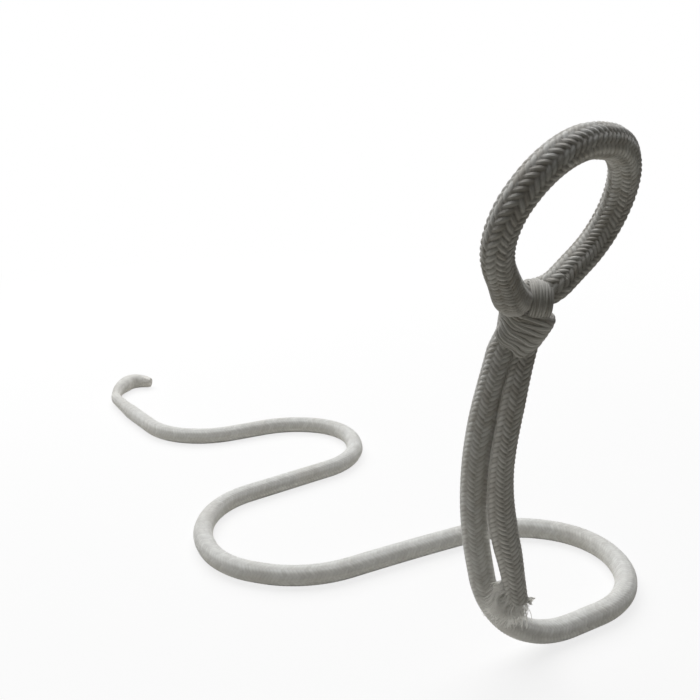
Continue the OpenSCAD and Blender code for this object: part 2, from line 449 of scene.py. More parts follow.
def yarn_group() -> Tree:
    """Build the shader group for spun yarn: streaks, fuzz, stains, painted shade in the braid's
    hollows and a band of painted shade round the knot.

    Returns:
        The group, with a colour, a roughness and a height.
    """
    group = Group(
        "spun_yarn", "ShaderNodeTree",
        {
            "Vector": ("Vector", None), "Across": ("Float", 0.0), "Tint": ("Float", 0.5),
            "Hollow": ("Float", 0.0), "Bright": ("Color", (0.8, 0.8, 0.77, 1)),
            "Shade": ("Color", (0.4, 0.38, 0.34, 1)), "Stain": ("Color", (0.6, 0.55, 0.46, 1)),
            "Stain Amount": ("Float", 0.2), "Hollow Shade Amount": ("Float", 0.6),
        },
        {"Color": "Color", "Roughness": "Float", "Height": "Float"},
    )
    soil_foot, soil_rise = 0.02, 12.0  # metres above the table, and shares for a metre
    # painted shade: a band from 95 to 158 mm above the table, at most 0.26 of the shade colour,
    # strongest round the knot, that darkens the knot and the loop's lower limbs
    knot_shade_foot, knot_shade_rise, knot_shade_top, knot_shade_fall, knot_shade_most = 0.095, 50.0, 0.158, 28.0, 0.26
    given, yarns = group.given, 3.0

    def noise(scale: float, detail: float) -> Field:
        """Return a noise value at a scale in waves per metre."""
        inputs = {"Scale": scale, "Detail": detail, "Vector": given("Vector")}
        return group.value("ShaderNodeTexNoise", "Fac", inputs)

    def mix(amount: Field, a: Field, b: Field) -> Field:
        """Return a mix of two colours."""
        inputs = {"Factor": amount, "A": a, "B": b}
        return group.value("ShaderNodeMix", "Result", inputs, data_type="RGBA")

    fuzz, cloud, fibre = noise(5200.0, 3.0), noise(70.0, 2.0), noise(1500.0, 2.0)
    streak = (given("Across") * (2 * math.pi * yarns) + fibre * 2.4).math("SINE") * 0.5 + 0.5
    # painted shade in the braid's hollows, darker where they are deeper
    hollow_shade = given("Hollow").math("POWER", 1.4)
    height = group.value("ShaderNodeSeparateXYZ", "Z", {0: given("Vector")})
    soil = ((height - soil_foot) * soil_rise).held()
    dirt = ((cloud - 0.45) * 4.0).held() * given("Stain Amount")
    dirt = (dirt + (given("Tint") - 0.5).most(0.0) * 0.9 * soil).math("MINIMUM", 1.0)
    # the band of painted shade round the knot, fading out towards the loop's crown
    knot_shade = ((height - knot_shade_foot) * knot_shade_rise).held()
    knot_shade = knot_shade * (-(height - knot_shade_top) * knot_shade_fall).held() * knot_shade_most
    # the darkening mixes painted shade (hollows and the knot band) with the yarn's own tone,
    # streaks and fuzz
    dark = hollow_shade * given("Hollow Shade Amount") + given("Tint") * 0.16 + streak * 0.07
    dark = dark + fuzz * 0.10 - 0.05 + knot_shade
    colour = mix(dark.held(), mix(dirt, given("Bright"), given("Stain")), given("Shade"))
    relief = streak * 0.5 + fuzz * 0.6 + fibre * 0.4
    group.feed(group.outlet, {"Color": colour, "Roughness": fuzz * 0.15 + 0.78, "Height": relief})
    return group.tree


@dataclass(frozen=True)
class YarnFinish:
    """Spun yarn, as it shows on the rope and on its loose fibres."""

    name: str
    bright: Point
    shade: Point
    stain: Point
    stain_amount: float = 0.25
    # how strongly the braid's hollows take painted shade
    hollow_shade_amount: float = 0.85
    bump: float = 0.5
    sheen: float = 0.4
    through: float = 0.0

    def build(self, group: Tree) -> Material:
        """Make the material.

        Args:
            group: The shared yarn group.

        Returns:
            The material.
        """
        surface = Surface(self.name)
        given = {
            "Vector": surface.place(), "Stain Amount": self.stain_amount,
            "Hollow Shade Amount": self.hollow_shade_amount, "Bright": (*self.bright, 1.0),
            "Shade": (*self.shade, 1.0), "Stain": (*self.stain, 1.0),
        }
        for label in ("Across", "Tint", "Hollow"):
            named = {"attribute_name": label.lower()}
            given[label] = surface.value("ShaderNodeAttribute", "Fac", **named)
        yarn = surface.add("ShaderNodeGroup", None, node_tree=group)
        surface.feed(yarn, given)
        colour = surface.get(yarn, "Color")
        surface.feed(surface.shader, {
            "Base Color": colour, "Roughness": surface.get(yarn, "Roughness"),
            "Normal": surface.bump(surface.get(yarn, "Height"), self.bump, 0.12),
            "Sheen Weight": self.sheen, "Sheen Roughness": 0.5, "Specular IOR Level": 0.25,
        })
        if self.through:
            glow = surface.value("ShaderNodeBsdfTranslucent", "BSDF", {"Color": colour})
            surface.mix_in(self.through, glow)
        return surface.material


@dataclass(frozen=True)
class HardFinish:
    """A hard finish with grain: the melted end and the drawn steel rod."""

    name: str
    light: Point
    dark: Point
    metallic: float
    roughness: float
    grain: float
    stretch: Point = (1.0, 1.0, 1.0)

    def build(self) -> Material:
        """Make the material.

        Returns:
            The material.
        """
        surface = Surface(self.name)
        drawn = {"Vector": surface.place(), "Scale": self.stretch}
        grained = surface.value("ShaderNodeMapping", "Vector", drawn)
        waves = {"Vector": grained, "Scale": self.grain, "Detail": 4.0}
        noise = surface.value("ShaderNodeTexNoise", "Fac", waves)
        ramp = surface.add("ShaderNodeValToRGB", {"Fac": noise})
        for stop, at, colour in zip(ramp.color_ramp.elements, (0.3, 0.7), (self.dark, self.light)):
            stop.position, stop.color = at, (*colour, 1.0)
        surface.feed(surface.shader, {
            "Metallic": self.metallic, "Base Color": surface.get(ramp, "Color"),
            "Roughness": noise * 0.2 + (self.roughness - 0.1),
            "Normal": surface.bump(noise, 0.4, 0.1),
        })
        return surface.material


class Finish(Enum):
    """The carrier's finishes, each with the record's slot that it fills."""

    ROPE = "rope"
    SLACK = "slack_rope"
    YARN = "yarn"
    SEAL = "sealed_end"
    STEEL = "steel"


class Finishes:
    """Builds every finish once and hands it out by its name."""

    def __init__(self) -> None:
        """Build the shared group and the materials."""
        group = yarn_group()
        shade, stain = (0.17, 0.15, 0.12), (0.66, 0.62, 0.55)
        rope = YarnFinish("braided_rope", (0.90, 0.905, 0.88), shade, stain)
        slack = YarnFinish("slack_braided_rope", (0.89, 0.885, 0.85), shade, stain)
        yarn = YarnFinish(
            "loose_yarn", (0.96, 0.955, 0.93), shade, stain, stain_amount=0.0,
            hollow_shade_amount=0.0, bump=0.2, sheen=0.6, through=0.55,
        )
        seal = HardFinish("melted_end", (0.76, 0.75, 0.71), (0.60, 0.58, 0.54), 0.0, 0.45, 900.0)
        steel = HardFinish(
            "drawn_steel", (0.62, 0.63, 0.65), (0.45, 0.46, 0.48), 1.0, 0.38, 400.0, (1, 1, 6)
        )
        self.made = {
            Finish.ROPE: rope.build(group), Finish.SLACK: slack.build(group),
            Finish.YARN: yarn.build(group), Finish.SEAL: seal.build(), Finish.STEEL: steel.build(),
        }

    def get(self, finish: Finish) -> Material:
        """Return the material of a finish."""
        return self.made[finish]


# ---------------------------------------------------------------- shapes


@dataclass
class Sizes:
    """The carrier's named sizes, the same as in the part's source."""

    rope_d: float = 7.8
    slack_d: float = 6.9
    foot_flat: float = 0.4
    base_l: float = 331.0
    base_w: float = 120.0
    seal_l: float = 4.2
    knot_h: float = 109.6
    knot_reach: float = 2.5
    knot_side: float = 3.7
    stem_bow: float = 6.7
    stem_sway: float = 8.9
    loop_w: float = 46.6
    loop_h: float = 50.6
    loop_lean: float = 22.0
    loop_yaw: float = -7.0
    turn_t: float = 2.3
    knot_play: float = 0.1
    leg_l: float = 3.7
    tail_up_share: float = 0.84
    belly_share: float = 0.6


class Corner(IntEnum):
    """The centreline's corners that the pieces refer to."""

    TAIL_NECK = 2
    TAIL_RUN = 3
    TROUGH_FLOOR = 9
    HEEL = 16
    STEM = 17
    STEM_TOP = 18
    LOOP_FOOT = 19
    NEAR_FOOT = 24


# The cover's solids, one for each corner from the tail's run to the near foot.
SLEEVES = (
    "tail_run", "first_rise", "first_crest_in", "first_crest_top", "first_crest_out",
    "trough_in", "trough_floor", "trough_mid", "trough_out", "second_rise", "last_crest_in",
    "last_crest_top", "last_crest_out", "heel", "stem", "stem_top", "loop_foot", "far_limb",
    "crown_far", "crown_near", "near_limb", "near_foot",
)


def sleeves(first: int, last: int) -> tuple[str, ...]:
    """Return the names of the cover's solids from one corner to another."""
    start = Corner.TAIL_RUN
    return tuple("sleeve_" + name for name in SLEEVES[first - start : last - start + 1])


class Centreline:
    """The rope's centreline: corners, each rounded by an arc of half its shorter side."""

    BASE_SHARES = (
        (-0.494, 0.237), (-0.524, 0.184), (-0.487, 0.018), (-0.392, -0.026),
        (-0.220, -0.070), (-0.159, 0.404), (-0.076, 0.526), (0.019, 0.368),
        (-0.0115, -0.221), (0.032, -0.395), (0.116, -0.469), (0.210, -0.325),
        (0.244, 0.035), (0.282, 0.368), (0.382, 0.500), (0.476, 0.307),
        (0.435, -0.199),
    )
    STEM_SHARES = ((0.12, 0.11, 1.01), (1.08, 0.45, 1.22))
    LOOP_SHARES = (
        (0.488, 0.515, -0.05), (0.923, 0.376, 0.08), (1.0, -0.193, 0.37), (0.597, -0.485, 0.47),
    )
    FOOT_SHARES = ((1.60, -1.10, 0.46), (1.17, -0.27, 0.09))
    ARC_STEPS = 40

    def __init__(self, sizes: Sizes) -> None:
        """Work out the corners from the named sizes.

        Args:
            sizes: The named sizes.
        """
        s = self.sizes = sizes
        rope, lie = s.rope_d, s.rope_d / 2 - s.foot_flat
        base = [np.array([x * s.base_l, y * s.base_w, lie]) for x, y in self.BASE_SHARES]
        base[0][2] = s.tail_up_share * rope
        heel = np.array([*base[Corner.HEEL][:2], 0.0])
        self.knot = heel + [s.knot_reach, -s.knot_side, s.knot_h]
        lean, yaw = math.radians(s.loop_lean), math.radians(s.loop_yaw)
        self.up = turned(lean, yaw)
        self.across = np.array([-math.sin(yaw), math.cos(yaw), 0.0])
        self.ahead = np.cross(self.across, self.up)
        belly = heel + [-s.stem_bow, -s.stem_sway, s.belly_share * s.knot_h]
        self.way = base + [belly]
        self.way += [self.knot + rope * np.array(share) for share in self.STEM_SHARES]
        size = np.array([s.loop_h, s.loop_w, rope])
        self.way += [self.in_loop(*(size * share)) for share in self.LOOP_SHARES]
        self.way += [self.in_loop(*(rope * np.array(share))) for share in self.FOOT_SHARES]

    def in_loop(self, up: float, across: float, ahead: float) -> Array:
        """Return a point from its place in the loop's own plane."""
        return self.knot + up * self.up + across * self.across + ahead * self.ahead

    def bend(self, i: int) -> tuple[Array, float, Array, Array, float]:
        """Work out the arc at a corner.

        Args:
            i: The corner's number.

        Returns:
            Its centre, radius, two axes and turn.
        """
        p = self.way[i]
        a, b = self.way[i - 1] - p, self.way[i + 1] - p
        side = 0.5 * min(np.linalg.norm(a), np.linalg.norm(b))
        a, b = unit(a), unit(b)
        half = math.acos(float(np.clip(a @ b, -1, 1))) / 2
        radius = side * math.tan(half)
        centre = p + unit(a + b) * radius / math.sin(half)
        x = unit(p + a * side - centre)
        out = p + b * side - centre
        return centre, radius, x, unit(out - (out @ x) * x), math.pi - 2 * half

    def arc(self, i: int, share: float) -> tuple[Array, Array]:
        """Find a place on the arc at a corner.

        Args:
            i: The corner's number.
            share: The share of the arc.

        Returns:
            The point and the direction there.
        """
        centre, radius, x, y, turn = self.bend(i)
        c, d = math.cos(turn * share), math.sin(turn * share)
        return centre + radius * (c * x + d * y), c * y - d * x

    def sealed_point(self) -> Array:
        """Return the point where the tail's seal begins."""
        return self.way[0] + self.sizes.seal_l * unit(self.way[1] - self.way[0])

    def points(self) -> Array:
        """Walk the whole centreline.

        Returns:
            Close points from the tail's sealed point to the near limb's end.
        """
        n = self.ARC_STEPS
        corners = range(1, len(self.way) - 1)
        rows = [self.arc(i, k / n)[0] for i in corners for k in range(n + 1)]
        return np.array([self.sealed_point(), *rows])


def turned(lean: float, yaw: float) -> Array:
    """Return the direction that leans from upright toward a compass angle."""
    flat = math.sin(lean)
    return np.array([flat * math.cos(yaw), flat * math.sin(yaw), math.cos(lean)])


def runs(points: Array) -> Array:
    """Return the length along a polyline at each of its points."""
    return np.r_[0, np.cumsum(np.linalg.norm(np.diff(points, axis=0), axis=1))]


def resample(points: Array, step: float) -> Array:
    """Walk a polyline in even steps.

    Args:
        points: The polyline's points.
        step: About how far apart the new points are.

    Returns:
        The new points.
    """
    gaps = np.linalg.norm(np.diff(points, axis=0), axis=1)
    points = points[np.r_[True, gaps > 1e-6]]
    run = runs(points)
    at = np.linspace(0, run[-1], max(2, int(round(run[-1] / step)) + 1))
    return np.stack([np.interp(at, run, points[:, k]) for k in range(3)], 1)


def smoothed(values: Array, half: int) -> Array:
    """Return values averaged over a number of neighbours on each side."""
    width = 2 * half + 1
    return np.convolve(np.pad(values, half, mode="edge"), np.ones(width) / width, "valid")


def signed_power(value: Array, power: float) -> Array:
    """Return a value raised to a power, with its sign kept."""
    return np.sign(value) * np.abs(value) ** power


def tube_faces(rows: int, ring: int, closed: bool = False) -> list[tuple[int, ...]]:
    """Return the faces of a tube of rings.

    Args:
        rows: How many rings there are.
        ring: How many points a ring has.
        closed: Whether the tube runs back into itself. Otherwise each end is a fan on
            one of two middle points, which follow the rings' points.

    Returns:
        The faces.
    """
    faces, last = [], (rows - 1) * ring
    for j in range(rows if closed else rows - 1):
        a, b = j * ring, ((j + 1) % rows) * ring
        faces += [(a + k, a + (k + 1) % ring, b + (k + 1) % ring, b + k) for k in range(ring)]
    if not closed:
        first_middle, last_middle = rows * ring, rows * ring + 1
        faces += [(first_middle, (k + 1) % ring, k) for k in range(ring)]
        faces += [(last_middle, last + k, last + (k + 1) % ring) for k in range(ring)]
    return faces


@dataclass(frozen=True)
class Span:
    """A stretch over which something rises softly from 0 to 1."""

    low: float
    high: float

    def of(self, value: Array) -> Array:
        """Return the share of the rise at a value."""
        t = np.clip((value - self.low) / (self.high - self.low), 0, 1)
        return t * t * (3 - 2 * t)


@dataclass
class Sweep:
    """A smooth closed skin along a path, ready for the braid's relief.

    One side direction is carried along the path without twist, and one for each ring is
    taken as it is. In the same way one lay is where the braid starts, and one for each
    ring is the braid's own run.
    """

    name: str
    path: Array
    side: Array
    wide: Array
    thick: Array
    sides: int = 72
    square: float = 2.0
    ease: Array | None = None
    closed: bool = False
    lay: float | Array = 0.0
    OUTLINE_STEPS = 721

    def frames(self) -> tuple[Array, Array, Array]:
        """Work out the directions along the path.

        Returns:
            The tangents, the side directions and the third directions.
        """
        p = self.path
        if self.closed:
            t = np.roll(p, -1, axis=0) - np.roll(p, 1, axis=0)
        else:
            t = np.gradient(p, axis=0)
        t = t / np.linalg.norm(t, axis=1)[:, None]
        if self.side.ndim == 2:
            u = self.side - (self.side * t).sum(1)[:, None] * t
            u = u / np.linalg.norm(u, axis=1)[:, None]
        else:
            u, v = np.empty_like(p), self.side
            for k, way in enumerate(t):
                u[k] = v = unit(v - (v @ way) * way)
        return t, u, np.cross(t, u)

    def build(self) -> Piece:
        """Make the skin as an object whose attributes the relief reads.

        Returns:
            The object, at the origin, with its place in its mesh.
        """
        p, m, n = self.path, len(self.path), self.sides
        t, u, v = self.frames()
        angle = np.linspace(0, 2 * math.pi, self.OUTLINE_STEPS)
        power = 2.0 / self.square
        outline = [signed_power(turn(angle), power) for turn in (np.cos, np.sin)]
        wide, thick = self.wide[m // 2], self.thick[m // 2]
        run = np.hypot(np.diff(outline[0] * wide), np.diff(outline[1] * thick))
        run = np.r_[0, np.cumsum(run)]
        share = np.arange(n) / n
        at = np.interp(share * run[-1], run, angle)
        sx, sy = (signed_power(turn(at), power)[:, None] for turn in (np.cos, np.sin))
        gx, gy = (signed_power(value, self.square - 1) for value in (sx, sy))
        w, h = self.wide[:, None, None], self.thick[:, None, None]
        rings = p[:, None] + w * sx * u[:, None] + h * sy * v[:, None]
        out = gx / w * u[:, None] + gy / h * v[:, None]
        out /= np.linalg.norm(out, axis=2)[:, :, None]
        lay = self.lay if isinstance(self.lay, Array) else self.lay + runs(p)
        ease = np.ones(m) if self.ease is None else self.ease
        points, outs = rings.reshape(-1, 3), out.reshape(-1, 3)
        lays, rounds, eases = np.repeat(lay, n), np.tile(share, m), np.repeat(ease, n)
        if not self.closed:
            points, outs = np.vstack([points, p[0], p[-1]]), np.vstack([outs, -t[0], t[-1]])
            lays, rounds = np.r_[lays, lay[0], lay[-1]], np.r_[rounds, 0, 0]
            eases = np.r_[eases, 0, 0]
        mesh = bpy.data.meshes.new(self.name)
        mesh.from_pydata((points * MM).tolist(), [], tube_faces(m, n, self.closed))
        for label, kind, key, data in (
            ("lay", "FLOAT", "value", lays * MM), ("round", "FLOAT", "value", rounds),
            ("ease", "FLOAT", "value", eases), ("out", "FLOAT_VECTOR", "vector", outs),
        ):
            layer = mesh.attributes.new(label, kind, "POINT")
            layer.data.foreach_set(key, np.ascontiguousarray(data, np.float32).ravel())
        self.unwrap(mesh, rounds, lays)
        mesh.validate()
        return add_object(self.name, mesh)

    @staticmethod
    def unwrap(mesh: bpy.types.Mesh, rounds: Array, lays: Array) -> None:
        """Lay the skin out flat in a UV map.

        Args:
            mesh: The skin's mesh.
            rounds: The share of the way round, at each point.
            lays: The lay at each point, which the map shows in centimetres.
        """
        loops = np.empty(len(mesh.loops), np.int64)
        mesh.loops.foreach_get("vertex_index", loops)
        around, up = rounds[loops], lays[loops] / 10.0
        size = np.empty(len(mesh.polygons), np.int64)
        mesh.polygons.foreach_get("loop_total", size)
        owner = np.repeat(np.arange(len(size)), size)
        high = np.zeros(len(size))
        np.maximum.at(high, owner, around)
        # The faces that close a ring end at 1 and don't run back to 0.
        around = np.where((around == 0) & (high[owner] > 0.6), 1.0, around)
        layer = mesh.uv_layers.new(name="weave")
        layer.data.foreach_set("uv", np.stack([around, up], 1).astype(np.float32).ravel())


@dataclass
class Braid:
    """How a rope is braided: strands each way, their pitch and their relief."""

    strands: float = 10.0
    pitch: float = 1.5
    crown: float = 0.43
    lift: float = 0.25


def settle(piece: Piece, finish: Finish, *nodes: str) -> Piece:
    """Let a finished piece ride and stand for its solids.

    Args:
        piece: The finished piece.
        finish: Its finish, whose value is the record's slot. It is not used.
        nodes: The solids that it replaces.

    Returns:
        The piece.
    """
    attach(piece, BODY)
    if nodes:
        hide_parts(*nodes)
    LOG.info("%s: %d faces", piece.name, len(piece.data.polygons))
    return piece


class Workshop:
    """What every sub-assembly shares: sizes, centreline, trees and finishes."""

    def __init__(self) -> None:
        """Build the shared things once."""
        self.sizes = Sizes()
        self.line = Centreline(self.sizes)
        self.relief = braid_relief_tree()
        self.fray = fray_tree()
        self.finishes = Finishes()

    def weave(self, skin: Sweep, braid: Braid, finish: Finish, *nodes: str) -> Piece:
        """Make a skin, raise the braid on it and settle it.

        Args:
            skin: The smooth skin.
            braid: How it is braided.
            finish: The finish that it takes.
            nodes: The solids that it replaces.

        Returns:
            The braided piece.
        """
        piece = skin.build()
        self.relief.apply(piece, {
            "Strands": braid.strands, "Pitch": braid.pitch * MM, "Crown": braid.crown * MM,
            "Lift": braid.lift * MM, "Finish": self.finishes.get(finish),
        })
        return settle(piece, finish, *nodes)


@dataclass
class Assembly:
    """A sub-assembly, which works with the shared sizes and centreline."""

    shop: Workshop

    def __post_init__(self) -> None:
        """Take the shared sizes and centreline at hand."""
        self.sizes, self.line = self.shop.sizes, self.shop.line


# ---------------------------------------------------------------- sub-assemblies


@dataclass(frozen=True)
class Tuft:
    """A tuft of frayed yarns.

    Its root and its way are measured along the strand, to its side and to its front.
    """

    name: str
    root: Point
    way: Point
    seed: int
    count: int
    length: float
    radius: float = 2.2

    def build(self, shop: Workshop, at: Array, basis: Array) -> Piece:
        """Make the tuft.

        Args:
            shop: The shared things.
            at: The strand's end.
            basis: The strand's own way, its side and its front.

        Returns:
            The tuft.
        """
        piece = add_object(self.name, bpy.data.meshes.new(self.name))
        shop.fray.apply(piece, {
            "Count": self.count, "Root": self.radius * MM, "Length": self.length * MM,
            "Spread": 0.5, "Thickness": 0.1 * MM, "Seed": self.seed,
            "Finish": shop.finishes.get(Finish.YARN),
        })
        way = Vector(unit(np.array(self.way) @ basis))
        turn = Vector((0, 0, -1)).rotation_difference(way).to_matrix().to_4x4()
        root = at + np.array(self.root) @ basis
        piece.data.transform(Matrix.Translation(Vector(root) * MM) @ turn)
        return piece


@dataclass
class FreeEnd(Assembly):
    """The rope's free end, which hangs beside the stem, with its frayed yarns.

    The route has the same points as in the part's source, in metres. The rows of sizes
    have one value for each of them.
    """

    route: tuple[Point, ...] = (
        (0.1501, -0.0246, 0.1065), (0.1489, -0.0254, 0.0990), (0.1479, -0.0264, 0.0917),
        (0.1470, -0.0271, 0.0843), (0.1463, -0.0276, 0.0759), (0.1459, -0.0279, 0.0675),
        (0.1464, -0.0277, 0.0590), (0.1476, -0.0272, 0.0506), (0.1490, -0.0266, 0.0410),
        (0.1507, -0.0257, 0.0316),
    )
    wide: Row = (3.0, 3.2, 3.4, 3.35, 3.4, 3.7, 4.05, 4.0, 3.5, 3.3)
    thick: Row = (2.3, 2.7, 3.1, 3.4, 3.4, 3.4, 3.4, 3.3, 3.3, 3.3)
    front: Row = (0.9, 1.6, 2.0, 2.0, 1.8, 1.5, 1.2, 0.7, 0.2, 0.0)
    inward: Row = (0.2, 0.25, 0.0, -0.1, -0.05, -0.15, -0.05, -0.05, -0.7, -0.6)
    yaw: float = 35.0
    tail: float = 3.0
    step: float = 0.22
    curve_steps: int = 160
    braid: Braid = field(default_factory=lambda: Braid(strands=9.0, crown=0.32, lift=0.16))
    tufts: tuple[Tuft, ...] = (
        Tuft("fray_to_the_heel", (-1.5, -1.2, 0.6), (1.0, -0.9, 0.0), 3, 190, 8.5),
        Tuft("fray_below", (-1.5, 0.0, 0.0), (1.0, -0.2, 0.25), 9, 190, 9.0),
        Tuft("fray_between", (-5.2, -1.5, 0.0), (1.0, -0.9, 0.2), 21, 190, 7.0),
        Tuft("fray_beside", (-0.8, 2.9, 0.0), (0.4, 1.0, 0.0), 14, 90, 2.2, 0.7),
    )

    def build(self) -> None:
        yaw = math.radians(self.yaw)
        side = np.array([math.cos(yaw), math.sin(yaw), 0.0])
        ahead = np.array([math.sin(yaw), -math.cos(yaw), 0.0])
        laid = np.array(self.route) / MM + np.outer(self.front, ahead) - np.outer(self.inward, side)
        t = np.arange(len(laid))
        fine = np.linspace(0, t[-1], self.curve_steps)
        curve = np.stack([self.spline(laid[:, k], fine) for k in range(3)], 1)
        curve = np.vstack([curve, curve[-1] + self.tail * unit(curve[-1] - curve[-6])])
        path = resample(curve, self.step)
        share = np.linspace(0, t[-1], len(path))
        wide, thick = (np.interp(share, t, values) for values in (self.wide, self.thick))
        skin = Sweep("free_end", path, side, wide, thick, sides=104, lay=0.7)
        piece = self.shop.weave(skin, self.braid, Finish.SLACK, "free_end")
        basis = np.array([unit(path[-1] - path[-10]), side, ahead])
        tufts = [tuft.build(self.shop, path[-1], basis) for tuft in self.tufts]
        for k, tuft in enumerate(tufts):
            settle(tuft, Finish.YARN, *(("frayed_tip",) if k == 0 else ()))
        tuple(self.route[0])
        float(runs(path)[-1]) * MM

    @staticmethod
    def spline(values: Array, at: Array) -> Array:
        """Draw a smooth curve through evenly spaced values.

        Args:
            values: The values.
            at: Places among them, counted from 0.

        Returns:
            The curve's values at those places.
        """
        padded = np.r_[2 * values[0] - values[1], values, 2 * values[-1] - values[-2]]
        k = np.clip(at.astype(int), 0, len(values) - 2)
        f = at - k
        a, b, c, d = (padded[k + j] for j in range(4))
        even = (2 * a - 5 * b + 4 * c - d) * f**2
        return 0.5 * (2 * b + (c - a) * f + even + (3 * b - a - 3 * c + d) * f**3)


@dataclass
class Cover(Assembly):
    """The braided rope over the rod, from the tail to the knot.

    The spans are heights above the table, or lengths along the rope from the tail, from
    the knot or back from the fold.
    """

    braid: Braid = field(default_factory=Braid)
    step: float = 0.22
    base_pitch: float = 1.35
    foot_pitch: float = 1.05
    base_ease: float = 0.42
    stem_ease: float = 0.62
    loop_ease: float = 0.92
    curl_ease: float = 0.15
    upright: Span = Span(6, 30)
    looped: Span = Span(70, 125)
    sealed: Span = Span(0, 3)
    woven: Span = Span(9, 22)
    rodless: Span = Span(16, 26)
    laid: Span = Span(26, 36)
    open_foot: Span = Span(9, 20)
    tail_run: Row = (0.0, 6.0, 12.0, 18.0, 26.0)
    tail_height: Row = (3.6, 4.0, 4.1, 3.9, 3.3)
    girth_run: Row = (0, 3, 8, 14, 20, 25, 29, 33, 37, 40, 46, 54, 62)
    girth_share: Row = (
        1.0, 1.13, 1.24, 1.24, 1.05, 0.84, 0.72, 0.73, 0.85, 0.89, 0.93, 0.99,
    )
    cinch: float = 0.6
    cinch_shift: float = 0.4
    cinch_flat: float = 0.5
    cinch_in: Span = Span(-9, -2.5)
    cinch_out: Span = Span(4, 9)
    foot_swell: float = 0.55
    foot_shift: float = 0.1
    swollen: Span = Span(2, 13)
    shifted: Span = Span(0, 8)
    fold_reach: float = 0.75
    fold_round: float = 0.55

    def build(self) -> None:
        """Make the cover in stretches that carry one unbroken braid."""
        line, knot = self.line, Knot(self.shop)
        path = resample(line.points(), self.step)
        gap = float(np.linalg.norm(path[1] - path[0]))
        run = np.arange(len(path)) * gap
        left, radius = run[-1] - run, self.radii(run)
        self.lay_down(path, run, radius)
        _, u, _ = Sweep("whole", path, UP, radius, radius).frames()
        upright, looped = self.upright.of(path[:, 2]), self.looped.of(path[:, 2])
        ease = self.base_ease + (self.stem_ease - self.base_ease) * upright
        ease = ease + (self.loop_ease - self.stem_ease) * looped
        fade = self.curl_ease * self.sealed.of(run) + (1 - self.curl_ease) * self.woven.of(run)
        pitch = self.base_pitch + (self.braid.pitch - self.base_pitch) * upright
        pitch += (self.foot_pitch - self.braid.pitch) * (1 - self.open_foot.of(left))
        lay = np.cumsum(gap * self.braid.pitch / pitch)
        past = run - run[self.nearest(path, knot.at)]
        tight = self.cinch_in.of(past) * (1 - self.cinch_out.of(past))
        radius = radius - self.cinch * tight + self.foot_swell * (1 - self.swollen.of(left))
        path = path + self.cinch_shift * tight[:, None] * knot.side
        path = path + self.foot_shift * (1 - self.shifted.of(left))[:, None] * line.across
        ease = ease * fade * (1 - self.cinch_flat * tight)
        tail, mid, cut, top = (
            self.nearest(path, line.arc(corner, share)[0]) for corner, share in (
                (Corner.TAIL_NECK, 1.0), (Corner.TROUGH_FLOOR, 0.5), (Corner.HEEL, 0.9),
                (Corner.LOOP_FOOT, 1.0),
            )
        )
        end, floor, heel, foot = len(path) - 1, Corner.TROUGH_FLOOR, Corner.HEEL, Corner.LOOP_FOOT
        parts = (
            ("braided_tail", 0, tail, 60, ("tail_curl", "tail_neck")),
            ("braided_base_tail_side", tail, mid, 64, sleeves(Corner.TAIL_RUN, floor)),
            ("braided_base_stem_side", mid, cut, 64, sleeves(floor + 1, heel)),
            ("braided_stem", cut, top, 120, sleeves(heel + 1, foot)),
            ("braided_loop", top, end, 120, sleeves(foot + 1, Corner.NEAR_FOOT) + ("knot_fold",)),
        )
        for name, a, b, sides, nodes in parts:
            rows = slice(a, b + 1)
            skin = Sweep(
                name, path[rows], u[rows], radius[rows], radius[rows], sides=sides,
                ease=ease[rows], lay=lay[rows],
            )
            if b == end:
                self.fold(skin)
            finish = Finish.SLACK if a == 0 else Finish.ROPE
            self.shop.weave(skin, self.braid, finish, *nodes)

    @staticmethod
    def nearest(path: Array, at: Array) -> int:
        """Return the number of the path's point that is nearest to a place."""
        return int(np.argmin(np.linalg.norm(path - at, axis=1)))

    def lay_down(self, path: Array, run: Array, radius: Array) -> None:
        """Lower the tail to the table where it has no rod, and raise its curl.

        Args:
            path: The cover's path, which is changed.
            run: The length along it.
            radius: The rope's radius along it.
        """
        line, sizes = self.line, self.sizes
        lie = sizes.rope_d / 2 - sizes.foot_flat
        drop = np.where(path[:, 0] < line.way[Corner.TAIL_RUN][0], lie - np.minimum(radius, lie), 0)
        path[:, 2] -= drop * (1 - self.laid.of(run))
        curl = smoothed(np.interp(run, self.tail_run, self.tail_height), 20)
        path[:, 2] += (1 - self.rodless.of(run)) * (curl - path[:, 2])

    def fold(self, skin: Sweep) -> None:
        """Close the near limb's end in the blunt fold of the knot.

        Args:
            skin: The loop's skin, which gets more rings at its far end.
        """
        way, r = unit(skin.path[-1] - skin.path[-2]), skin.wide[-1]
        angles = np.radians(np.linspace(3, 88, 22))
        ahead, shrink = self.fold_reach * r * np.sin(angles), np.cos(angles) ** self.fold_round
        skin.path = np.vstack([skin.path, skin.path[-1] + np.outer(ahead, way)])
        skin.side = np.vstack([skin.side, np.repeat(skin.side[-1:], len(angles), axis=0)])
        skin.wide = skin.thick = np.r_[skin.wide, r * shrink]
        skin.ease = np.r_[skin.ease, np.cos(angles)]
        skin.lay = np.r_[skin.lay, skin.lay[-1] + r * angles * self.braid.pitch / self.foot_pitch]

    def radii(self, run: Array) -> Array:
        """Work out the rope's radius, which is uneven where it has no rod.

        Args:
            run: The length along the path.

        Returns:
            The radius there.
        """
        sizes = self.sizes
        share = np.array([*self.girth_share, sizes.rope_d / sizes.slack_d])
        return smoothed(np.interp(run, self.girth_run, sizes.slack_d / 2 * share), 9)


